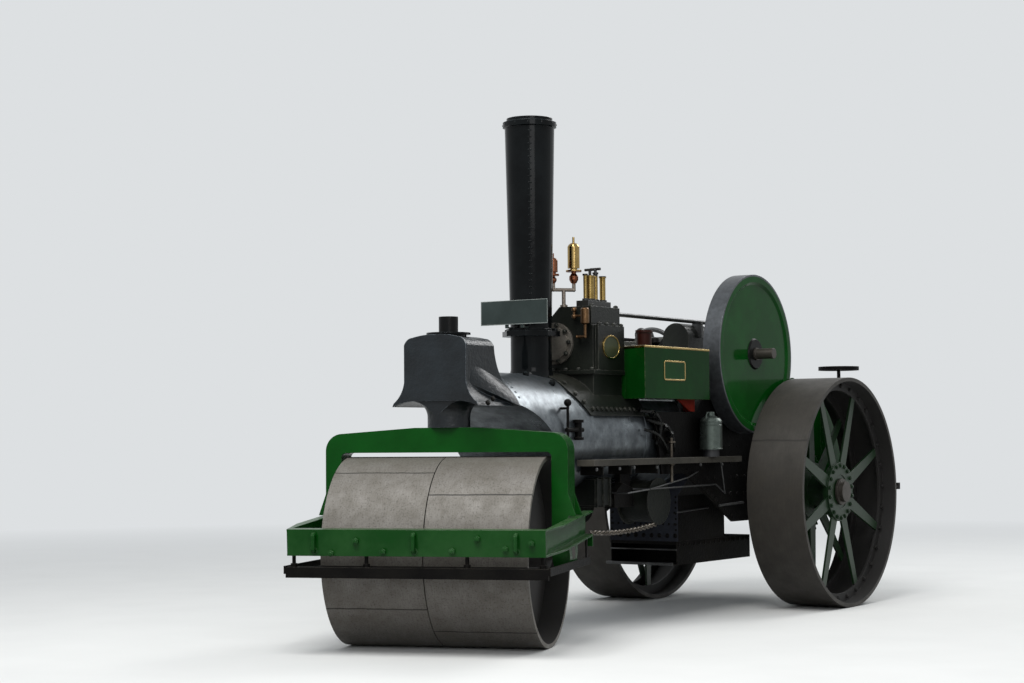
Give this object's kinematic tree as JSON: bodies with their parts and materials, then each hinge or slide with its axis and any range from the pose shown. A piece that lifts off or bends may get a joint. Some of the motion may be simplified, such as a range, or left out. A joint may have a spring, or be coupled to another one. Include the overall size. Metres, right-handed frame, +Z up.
{
  "type": "steam roller",
  "caption": "Three-roll steam road roller: chain-steered split front roll in a fork, spoked rear rolls, boiler, tall chimney and side flywheel.",
  "frame": {"origin": "on the ground under the middle of the machine's box", "axes": "+Z up, the machine drives towards -Y, +X is its left side with the flywheel"},
  "size_m": [2.044, 5.8395, 3.326],
  "materials": {
    "green_paint": "gloss",
    "black_paint": "gloss",
    "matt_black": "matte",
    "roll_steel": "worn",
    "bright_steel": "satin",
    "brass": "polished",
    "galvanised": "satin",
    "chain_steel": "oily"
  },
  "bodies": {
    "chassis": {"ashpan": "matt_black", "belly_tank": "matt_black", "boiler_barrel": "black_paint", "brake_wheel": "matt_black", "chain_barrel": "matt_black", "chimney": "black_paint", "chimney_base": "black_paint", "connecting_rod": "bright_steel", "control_rods": "bright_steel", "crank_bearing": "matt_black", "crank_guard": "black_paint", "cylinder_block": "black_paint", "cylinder_cover": "bright_steel", "cylinder_saddle": "black_paint", "drawbar": "matt_black", "feed_heater": "matt_black", "fire_door_hinge": "matt_black", "firebox": "matt_black", "footplate": "matt_black", "gear_case": "black_paint", "guide_bars": "bright_steel", "head_cap": "black_paint", "head_casting": "black_paint", "head_plate": "black_paint", "hornplates": "matt_black", "lubricator": "brass", "motion_tray": "green_paint", "number_plate": "black_paint", "oil_can": "galvanised", "rear_axle": "bright_steel", "rear_scrapers": "matt_black", "reversing_lever": "bright_steel", "running_boards": "matt_black", "safety_valves": "brass", "side_valve": "matt_black", "smokebox": "black_paint", "steering_chain_left": "chain_steel", "steering_chain_right": "chain_steel", "steering_column": "bright_steel", "tender": "green_paint", "valve_rods": "bright_steel", "whistles": "brass"},
    "steering_fork": {"fork": "green_paint", "front_frame": "green_paint", "scraper_frame": "matt_black", "front_axle": "bright_steel"},
    "left_front_roll": {"front_roll_left": "roll_steel"},
    "right_front_roll": {"front_roll_right": "roll_steel"},
    "left_rear_roll": {"rear_roll_left": "roll_steel", "drive_ring": "green_paint"},
    "right_rear_roll": {"rear_roll_right": "roll_steel"},
    "crank": {"crankshaft": "bright_steel", "flywheel": "green_paint"},
    "fire_door": {"fire_door": "matt_black"}
  },
  "joints": [
    {"name": "steering", "type": "hinge", "parent": "chassis", "child": "steering_fork", "pos_m": [0, -1.96022, 0], "axis": [0, 0, 1], "range_deg": [-51.7, 12.3], "deforming": ["steering_chain_left", "steering_chain_right"]},
    {"name": "front_roll_left_spin", "type": "hinge", "parent": "steering_fork", "child": "left_front_roll", "pos_m": [0, -1.96022, 0.5715], "axis": [0.9415, 0.3371, 0], "continuous": true},
    {"name": "front_roll_right_spin", "type": "hinge", "parent": "steering_fork", "child": "right_front_roll", "pos_m": [0, -1.96022, 0.5715], "axis": [0.9415, 0.3371, 0], "continuous": true},
    {"name": "rear_roll_left_spin", "type": "hinge", "parent": "chassis", "child": "left_rear_roll", "pos_m": [0, 1.67278, 0.838], "axis": [1, 0, 0], "continuous": true},
    {"name": "rear_roll_right_spin", "type": "hinge", "parent": "chassis", "child": "right_rear_roll", "pos_m": [0, 1.67278, 0.838], "axis": [1, 0, 0], "continuous": true},
    {"name": "flywheel_spin", "type": "hinge", "parent": "chassis", "child": "crank", "pos_m": [0, 1.05478, 1.843], "axis": [1, 0, 0], "continuous": true},
    {"name": "fire_door_hinge", "type": "hinge", "parent": "chassis", "child": "fire_door", "pos_m": [-0.22, 1.11778, 1.18], "axis": [0, 0, 1], "range_deg": [0, 100]}
  ]
}
